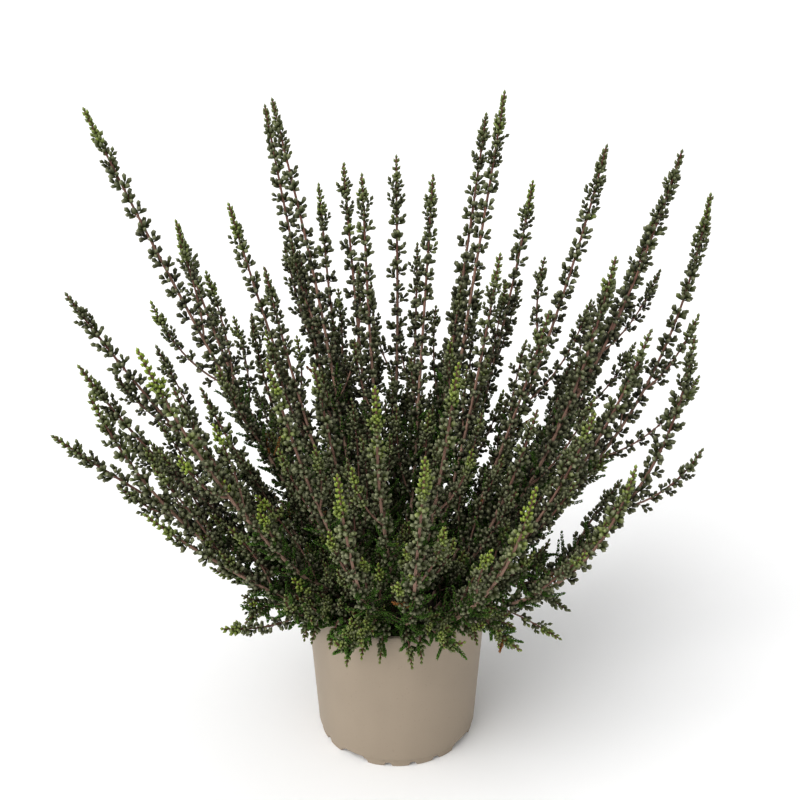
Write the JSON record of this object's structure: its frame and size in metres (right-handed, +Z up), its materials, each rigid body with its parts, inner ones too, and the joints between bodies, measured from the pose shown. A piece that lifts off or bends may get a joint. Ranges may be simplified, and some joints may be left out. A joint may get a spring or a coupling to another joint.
{
  "type": "potted heather",
  "caption": "Heather in bud: upright and arching budded stems standing in soil in a round taupe plastic nursery pot.",
  "frame": {"origin": "on the ground at the pot's axis, at the middle of the bottom of the part's box", "axes": "+Z up, -Y towards the picture's camera, +X to its right"},
  "size_m": [0.4081, 0.3095, 0.427],
  "materials": {
    "pot_plastic": "matte",
    "soil": "matte",
    "foliage": "satin"
  },
  "bodies": {
    "root": {"pot": "pot_plastic", "soil": "soil", "spray_01": "foliage", "spray_02": "foliage", "spray_03": "foliage", "spray_04": "foliage", "spray_05": "foliage", "spray_06": "foliage", "spray_07": "foliage", "spray_08": "foliage", "spray_09": "foliage", "spray_10": "foliage", "spray_11": "foliage", "spray_12": "foliage", "spray_13": "foliage", "spray_14": "foliage", "spray_15": "foliage", "spray_16": "foliage", "spray_17": "foliage", "spray_18": "foliage", "spray_19": "foliage", "spray_20": "foliage", "spray_21": "foliage", "spray_22": "foliage", "spray_23": "foliage", "spray_24": "foliage", "spray_25": "foliage", "spray_26": "foliage", "spray_27": "foliage", "spray_28": "foliage", "spray_29": "foliage", "spray_30": "foliage", "spray_31": "foliage", "spray_32": "foliage", "spray_33": "foliage", "spray_34": "foliage", "spray_35": "foliage", "spray_36": "foliage", "spray_37": "foliage", "spray_38": "foliage", "spray_39": "foliage", "spray_40": "foliage", "spray_41": "foliage", "spray_42": "foliage", "spray_43": "foliage", "spray_44": "foliage", "spray_45": "foliage", "spray_46": "foliage", "skirt_spray_01": "foliage", "skirt_spray_02": "foliage", "skirt_spray_03": "foliage", "skirt_spray_04": "foliage", "skirt_spray_05": "foliage", "skirt_spray_06": "foliage", "skirt_spray_07": "foliage", "skirt_spray_08": "foliage", "skirt_spray_09": "foliage", "skirt_spray_10": "foliage", "skirt_spray_11": "foliage", "skirt_spray_12": "foliage"}
  },
  "joints": []
}
